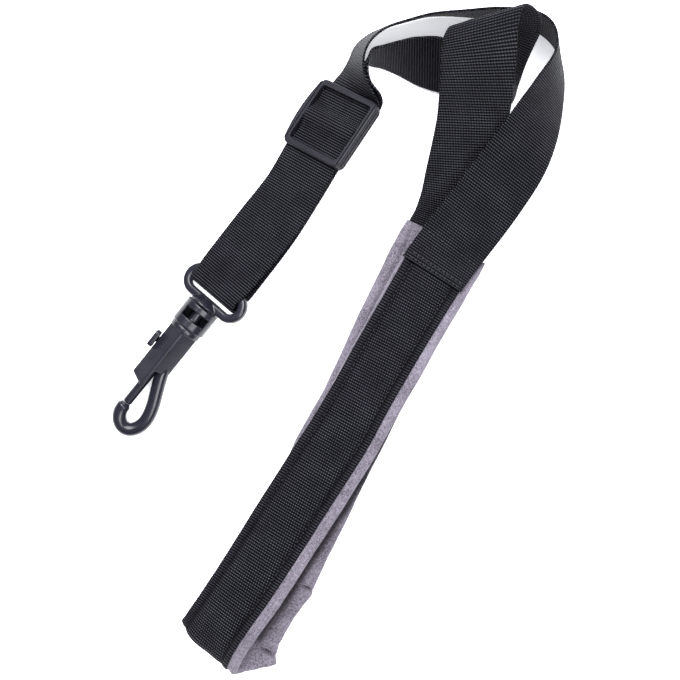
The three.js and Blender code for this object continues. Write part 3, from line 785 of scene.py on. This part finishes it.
def body_part():
    """Four-sided body, cut away to a fin on its right and slanted at its end."""
    d = BODY
    tip = d["half_diagonal"] - d["chamfer"]
    corners = [
        (x * tip + side * y * d["chamfer"], y * tip - side * x * d["chamfer"])
        for x, y in ((1, 0), (0, 1), (-1, 0), (0, -1)) for side in (1, -1)]
    top = BARREL["collar_bottom"] + d["overlap"]
    points = [(x, along, -z) for along in (d["end"], top) for x, z in corners]
    right_side = block((d["fin_edge"], d["end"] - FAR, -FAR), (FAR, d["shoulder"], FAR))
    slope = math.atan2(d["end_slope"], d["half_diagonal"])
    cosine, sine = math.cos(slope), math.sin(slope)
    turn = np.array([[cosine, sine, 0], [-sine, cosine, 0], [0, 0, 1]])
    end_points, end_faces = block((-2 * FAR, -FAR, -FAR), (2 * FAR, 0, FAR))
    slanted = (end_points @ turn.T + np.array([d["fin_edge"], d["end"], 0]), end_faces)
    return carved(new_piece("body", points, ring_faces(2, len(corners))), [right_side, slanted])


def jaw_part():
    """Jaw, thinned at its nose, with room cut out for the bolt's tip."""
    places = np.linspace(0, len(JAW_POINTS) - 1, JAW["rings"])
    path = catmull_rom(np.array([(x, y, 0) for x, y in JAW_POINTS]), places)
    from_nose = np.linalg.norm(path - path[-1], axis=1)
    thinning = (1 - from_nose / JAW["nose"]) ** 2 * (from_nose < JAW["nose"])
    near = np.arange(len(path)) > len(path) - JAW["nose_rings"]
    radii = JAW["radius"] * np.where(near, np.sqrt(np.clip(1 - thinning, JAW["nose_least"], 1)), 1)
    tip, radius = BOLT["tip"], JAW["radius"]
    nose_cut = block((-FAR, tip - GAP, -FAR), (radius, tip + radius, FAR))
    return carved(new_piece("jaw", *tube(path, radii)), [nose_cut])


def hook_part():
    """Barrel, body and jaw as one moulding, with the bolt's bore and the slot for its stem."""
    clearance = BOLT["clearance"]
    radius = BOLT["radius"] + clearance
    bottom, top = BODY["end"] - 1, BOLT["inner"] + BOLT["travel"] + clearance
    bore = turned([(0, bottom), (radius, bottom), (radius, top), (0, top)], 40)
    slot = block(
        (-FAR, KNOB["stem_bottom"] - clearance, KNOB["stem_low"] - clearance),
        (0, KNOB["stem_top"] + BOLT["travel"] + clearance, KNOB["stem_high"] + clearance))
    body, jaw, barrel = body_part(), jaw_part(), barrel_part()
    combine(barrel, body, "UNION")
    combine(barrel, jaw, "UNION")
    return softened(carved(barrel, [bore, slot]), "hook_moulding", BODY_PLACE, voxel=0.33, smoothing=3)


def bolt_part():
    """Sliding bolt with its stem and knob."""
    radius, chamfer, tip, inner = (BOLT[key] for key in ("radius", "chamfer", "tip", "inner"))
    pin = turned([
        (0, tip), (radius - chamfer, tip), (radius, tip + chamfer), (radius, inner), (0, inner)], 48)
    k = KNOB
    stem = block(
        (k["inner"] - k["stem_overlap"], k["stem_bottom"], k["stem_low"]),
        (0, k["stem_top"], k["stem_high"]))
    half = (k["top"] - k["bottom"]) / 2
    points, faces = plate(outline(k["half_depth"], half, corner=2.2), k["outer"], k["inner"], bevel=0.9)
    points = np.stack([points[:, 2], points[:, 1] + k["bottom"] + half, -points[:, 0]], axis=1)
    shapes = [pin, stem, (points, faces)]
    return moulded("bolt_and_knob", shapes, [], BODY_PLACE, voxel=0.3, smoothing=2)


# ---------- materials ----------

# The webbing's black, and the painted glint its yarn crowns get; the mix between them paints shade between
# the yarns.
WEAVE_DARK, WEAVE_PAINTED_GLINT = (0.0012, 0.0011, 0.0019, 1), (0.185, 0.184, 0.225, 1)
VELVET_DARK, VELVET_LIGHT = (0.064, 0.057, 0.071, 1), (0.215, 0.193, 0.235, 1)
# Colour of the painted shade in the pad's fold and creases.
VELVET_PAINTED_SHADE = (0.004, 0.0036, 0.0048, 1)
THREAD_DARK, THREAD_LIGHT = (0.001, 0.001, 0.0018, 1), (0.008, 0.008, 0.011, 1)
# Grain counts the noise's cells in a metre. Depth is the bump's, in metres.
# Plastics: light is the colour that random tone and the painted highlight on convex edges reach.
SLIDER_PLASTIC = dict(
    dark=(0.003, 0.0028, 0.0055, 1), light=(0.02, 0.0185, 0.029, 1),
    roughness=0.45, grain=2600.0, depth=0.00012, shine=0.22)
HOOK_PLASTIC = dict(
    dark=(0.0045, 0.0045, 0.0085, 1), light=(0.027, 0.027, 0.038, 1),
    roughness=0.24, grain=1500.0, depth=0.00003, shine=0.32)


def material(name):
    """New node material, its tree and its shader."""
    made = bpy.data.materials.new(name)
    made.use_nodes = True
    return made, made.node_tree, made.node_tree.nodes["Principled BSDF"]


def feed(tree, node, inputs):
    """Sets a node's inputs, each a value or another node's output."""
    for key, value in inputs.items():
        if isinstance(value, bpy.types.NodeSocket):
            tree.links.new(value, node.inputs[key])
        else:
            node.inputs[key].default_value = value


def add(tree, kind, inputs=None, **settings):
    """New node with settings and inputs."""
    node = tree.nodes.new(kind)
    for key, value in settings.items():
        setattr(node, key, value)
    feed(tree, node, inputs or {})
    return node


def calc(tree, operation, *values):
    """Result of a calculation with values or outputs."""
    return add(tree, "ShaderNodeMath", dict(enumerate(values)), operation=operation).outputs[0]


def mixed(tree, factor, first, second):
    """Colour mixed between two, by a factor."""
    return add(tree, "ShaderNodeMix", {0: factor, 6: first, 7: second}, data_type="RGBA").outputs[2]


def clouds(tree, where, scale, detail, output=0):
    """Output of a noise texture, with scale cells to the coordinates' unit."""
    inputs = {"Vector": where, "Scale": scale, "Detail": detail}
    return add(tree, "ShaderNodeTexNoise", inputs).outputs[output]


def bumped(tree, height, depth, strength=1.0):
    """Normal of a surface raised by a height."""
    inputs = {"Height": height, "Strength": strength, "Distance": depth}
    return add(tree, "ShaderNodeBump", inputs).outputs[0]


def webbing_material(name, pitch, contrast, margin=0.0):
    """Black webbing: ribs across, yarns shifted from rib to rib, painted crown glints and gap shade, worn
    patches.

    margin is the seams' distance from the middle: outside it the yarns lie flatter, beside it painted
    shade darkens the seam.
    """
    made, tree, shader = material(name)
    uv = add(tree, "ShaderNodeUVMap", uv_map="weave").outputs[0]
    wobble = clouds(tree, uv, 0.22, 2.0, "Color")
    drift = {0: wobble, 1: (0.9, 0.35, 0), 2: uv}
    moved = add(tree, "ShaderNodeVectorMath", drift, operation="MULTIPLY_ADD").outputs[0]
    u = add(tree, "ShaderNodeSeparateXYZ", {0: moved}).outputs[0]
    v = add(tree, "ShaderNodeSeparateXYZ", {0: uv}).outputs[1]
    rib = calc(tree, "COSINE", calc(tree, "MULTIPLY", v, 2 * math.pi / pitch))
    ridge = calc(tree, "MULTIPLY_ADD", rib, 0.5, 0.5)
    shift = calc(tree, "MULTIPLY", v, 2 * math.pi * YARN_SHIFT / pitch)
    yarns = calc(tree, "SINE", calc(tree, "MULTIPLY_ADD", u, 2 * math.pi / YARN_PITCH, shift))
    from_middle = calc(tree, "ABSOLUTE", u)
    if margin:
        outside = calc(tree, "GREATER_THAN", from_middle, margin)
        contrast = calc(tree, "MULTIPLY_ADD", outside, 0.1 - contrast, contrast)
    pattern = calc(tree, "MULTIPLY_ADD", yarns, contrast, 0.55)
    height = calc(tree, "MULTIPLY", ridge, pattern)
    fibre = clouds(tree, uv, 1.6, 4.0)
    patches = clouds(tree, uv, 0.06, 3.0)
    # Painted glints on the yarns' crowns and painted shade between them, varied by fibre and patches.
    crown = calc(tree, "POWER", height, 2.0)
    uneven = calc(tree, "MULTIPLY", calc(tree, "MULTIPLY_ADD", patches, 1.2, 0.35), fibre)
    tone = add(tree, "ShaderNodeClamp", {0: calc(tree, "MULTIPLY", crown, uneven)}).outputs[0]
    if margin:
        # Painted shade along the sunk seam line.
        from_seam = calc(tree, "ABSOLUTE", calc(tree, "SUBTRACT", from_middle, margin))
        seam_shade = add(tree, "ShaderNodeMapRange", {0: from_seam, 1: 0.2, 2: 2.6, 3: 0.3, 4: 1.0}).outputs[0]
        tone = calc(tree, "MULTIPLY", tone, seam_shade)
    raised = calc(tree, "ADD", height, calc(tree, "MULTIPLY", fibre, 0.3))
    feed(tree, shader, {
        "Base Color": mixed(tree, tone, WEAVE_DARK, WEAVE_PAINTED_GLINT),
        "Normal": bumped(tree, raised, 0.0006),
        "Roughness": calc(tree, "MULTIPLY_ADD", fibre, 0.3, 0.32),
        "Specular IOR Level": 0.03,
    })
    return made


def velvet_material():
    """Grey-mauve velvet: speckled nap, brushed patches, soft sheen, painted shade in the fold and its
    creases.
    """
    made, tree, shader = material("velvet")
    where = add(tree, "ShaderNodeTexCoord").outputs["Object"]
    nap = clouds(tree, where, 1900.0, 2.0)
    tufts = clouds(tree, where, 800.0, 2.0)
    strokes = clouds(tree, where, 60.0, 3.0)
    tufted = calc(tree, "MULTIPLY", tufts, 0.3)
    tone = calc(tree, "ADD", calc(tree, "MULTIPLY", nap, 0.5), tufted)
    tone = calc(tree, "ADD", tone, calc(tree, "MULTIPLY", strokes, 0.2))
    ramp = add(tree, "ShaderNodeValToRGB", {0: tone})
    for element, place, shade in zip(ramp.color_ramp.elements, (0.4, 0.6), (VELVET_DARK, VELVET_LIGHT)):
        element.position, element.color = place, shade
    # Painted shade from the lining's point attribute darkens the velvet in the fold and creases.
    painted_shade = add(tree, "ShaderNodeAttribute", attribute_name="painted_shade").outputs["Fac"]
    painted_shade = calc(tree, "MULTIPLY", painted_shade, 0.82)
    feed(tree, shader, {
        "Base Color": mixed(tree, painted_shade, ramp.outputs[0], VELVET_PAINTED_SHADE),
        "Normal": bumped(tree, tone, 0.0009),
        "Roughness": 0.95, "Specular IOR Level": 0.1,
        "Sheen Weight": 0.35, "Sheen Roughness": 0.3, "Sheen Tint": (0.93, 0.9, 1.0, 1),
    })
    return made


def plastic_material(name, dark, light, roughness, grain, depth, shine):
    """Moulded plastic with a fine grain, and convex edges lighter from edge wear and a painted highlight.
    """
    made, tree, shader = material(name)
    where = add(tree, "ShaderNodeTexCoord").outputs["Object"]
    fine = clouds(tree, where, grain, 3.0)
    wide = clouds(tree, where, 90.0, 4.0)
    # Lighter convex edges: edge wear, and a painted highlight on ridges.
    edge_wear_and_highlight = add(tree, "ShaderNodeNewGeometry").outputs["Pointiness"]
    edge_wear_and_highlight = add(tree, "ShaderNodeMapRange", {0: edge_wear_and_highlight, 1: 0.53, 2: 0.6, 3: 0.0, 4: 0.8}).outputs[0]
    tone = calc(tree, "ADD", calc(tree, "MULTIPLY", wide, 0.35), edge_wear_and_highlight)
    tone = calc(tree, "ADD", tone, calc(tree, "MULTIPLY", fine, 0.2))
    tone = add(tree, "ShaderNodeClamp", {0: tone}).outputs[0]
    feed(tree, shader, {
        "Base Color": mixed(tree, tone, dark, light),
        "Roughness": calc(tree, "MULTIPLY_ADD", wide, 0.16, roughness - 0.08),
        "Specular IOR Level": shine,
        "Normal": bumped(tree, fine, depth, 0.5),
    })
    return made


def thread_material():
    """Dark sewing thread with a twist along it."""
    made, tree, shader = material("thread")
    twist = clouds(tree, add(tree, "ShaderNodeTexCoord").outputs["Object"], 3000.0, 2.0)
    feed(tree, shader, {"Base Color": mixed(tree, twist, THREAD_DARK, THREAD_LIGHT), "Roughness": 0.55})
    return made


def dress(obj, made):
    """Gives an object its only material."""
    obj.data.materials.clear()
    obj.data.materials.append(made)


# ---------- the object ----------

strap_cloth = webbing_material("webbing_strap", STRAP_RIB_PITCH, 0.2)
pad_cloth = webbing_material("webbing_pad", PAD_RIB_PITCH, 0.36, SEAM_REACH)
velvet = velvet_material()
slider_plastic = plastic_material("slider_plastic", **SLIDER_PLASTIC)
hook_plastic = plastic_material("hook_plastic", **HOOK_PLASTIC)
thread = thread_material()

upper_rows = rows_in_slider(UPPER_START) + UPPER_ROWS
lower_rows = rows_in_slider(LOWER_START) + LOWER_ROWS
drop_rows = (
    rows_in_slider(DROP_START) + DROP_UNDER_ROWS + rows_around_ring() + DROP_OVER_ROWS
    + rows_in_slider(DROP_END))

upper = webbing("upper_webbing", upper_rows, STRAP_RIB_PITCH, 1)
lower = webbing("lower_webbing", lower_rows, STRAP_RIB_PITCH, 2)
drop = webbing("drop_webbing", drop_rows, STRAP_RIB_PITCH, 3)
cover = webbing("pad_webbing", PAD_ROWS, PAD_RIB_PITCH, 4, quilting, (COVER_LEFT, COVER_RIGHT))
for obj, node in ((upper, "strap_upper"), (lower, "strap_lower"), (drop, "strap_drop")):
    dress(obj, strap_cloth)
    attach(obj, "strap")
    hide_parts(node)
dress(cover, pad_cloth)
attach(cover, "strap")
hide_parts("pad_cover")

velvet_pad = lining()
dress(velvet_pad, velvet)
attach(velvet_pad, "strap")
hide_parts("pad_lining")

# Tracks of the seams, in (length, across).
inset_left = [(length, -reach + SEAM_INSET) for length, reach in COVER_LEFT] + [(PAD_LENGTH, -SEAM_REACH)]
inset_right = [(length, reach - SEAM_INSET) for length, reach in COVER_RIGHT] + [(PAD_LENGTH, SEAM_REACH)]
start, end = END_SEAM_INSET, PAD_LENGTH - END_SEAM_INSET
velvet_tracks = [
    [(start, -SEAM_REACH), (end, -SEAM_REACH)], [(start, SEAM_REACH), (end, SEAM_REACH)],
    [(end, -SEAM_REACH), (end, SEAM_REACH)],
]
upper_length = ribbon(upper_rows, 1.0)["length"][-1]
last = upper_length - UPPER_SEAMS["end"]
edge = WEBBING_WIDTH / 2 - UPPER_SEAMS["margin"]
upper_tracks = [
    [(at, -edge), (at, edge)]
    for at in (last, last - UPPER_SEAMS["spacing"], upper_length - UPPER_SEAMS["back"])
]
seams = [
    stitches("pad_seams", PAD_ROWS, [inset_left, inset_right], level=0.68, shape=quilting),
    stitches("velvet_seams", PAD_ROWS, velvet_tracks, level=-4.9),
    stitches("upper_seams", upper_rows, upper_tracks, level=0.82, radius=0.3),
]
for obj in seams:
    dress(obj, thread)
    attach(obj, "strap")

slider_main, slider_bar = slider_parts()
for obj in (slider_main, slider_bar):
    dress(obj, slider_plastic)
    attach(obj, "strap")
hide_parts("slider")

ring = ring_part()
dress(ring, hook_plastic)
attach(ring, "strap")
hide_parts("swivel_ring")

hook = hook_part()
dress(hook, hook_plastic)
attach(hook, "hook")
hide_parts("hook_body")

bolt = bolt_part()
dress(bolt, hook_plastic)
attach(bolt, "gate")
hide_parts("gate_bolt")

# ---------- floor, light and camera ----------

# Lengths from here on are in metres.
FLOOR_REACH = 3.0
LIGHT_COLOUR = (0.97, 0.98, 1)
# Name, place, size and power.
LIGHTS = [
    ("key", (-0.5, 0.4, 1.15), (0.9, 1.1), 46),
    ("fill", (0.65, -0.1, 1.1), (0.5, 0.9), 17),
]
CAMERA_PLACE = ((8.83 + CENTRE[0]) * MM, (-14.39 + CENTRE[1]) * MM, 0.48)
# Width of floor in the picture, and which way along x and y its top points.
VIEW_WIDTH = 0.41684
VIEW_UP = (-0.62, 0.785)


def floor():
    """White floor that glows a little."""
    mesh = bpy.data.meshes.new("floor")
    corners = [(x * FLOOR_REACH, y * FLOOR_REACH, 0) for x, y in ((-1, -1), (1, -1), (1, 1), (-1, 1))]
    mesh.from_pydata(corners, [], [(0, 1, 2, 3)])
    obj = linked("floor", mesh)
    made, tree, shader = material("floor")
    feed(tree, shader, {
        "Base Color": (0.93, 0.93, 0.94, 1), "Roughness": 0.9, "Specular IOR Level": 0.1,
        "Emission Color": (0.94, 0.95, 1.0, 1), "Emission Strength": 0.56,
    })
    mesh.materials.append(made)


def area_light(name, place, size, power):
    """Rectangular light aimed at the middle of the floor."""
    data = bpy.data.lights.new(name, "AREA")
    data.shape = "RECTANGLE"
    data.size, data.size_y = size
    data.energy = power
    data.color = LIGHT_COLOUR
    obj = linked(name, data)
    obj.location = place
    obj.rotation_euler = (-Vector(place)).to_track_quat("-Z", "Y").to_euler()


def camera():
    """Camera that looks straight down on the floor."""
    data = bpy.data.cameras.new("camera")
    data.sensor_fit = "HORIZONTAL"
    data.angle = 2 * math.atan(VIEW_WIDTH / 2 / CAMERA_PLACE[2])
    data.clip_start = 0.01
    obj = linked("camera", data)
    obj.location = CAMERA_PLACE
    obj.rotation_euler = (0, 0, math.atan2(-VIEW_UP[0], VIEW_UP[1]))
    bpy.context.scene.camera = obj


floor()
camera()
world = bpy.data.worlds.new("studio")
bpy.context.scene.world = world
world.use_nodes = True
feed(world.node_tree, world.node_tree.nodes["Background"], {0: (0.9, 0.92, 1, 1), 1: 0.22})
for light in LIGHTS:
    area_light(*light)
bpy.context.scene.view_settings.view_transform = "Standard"
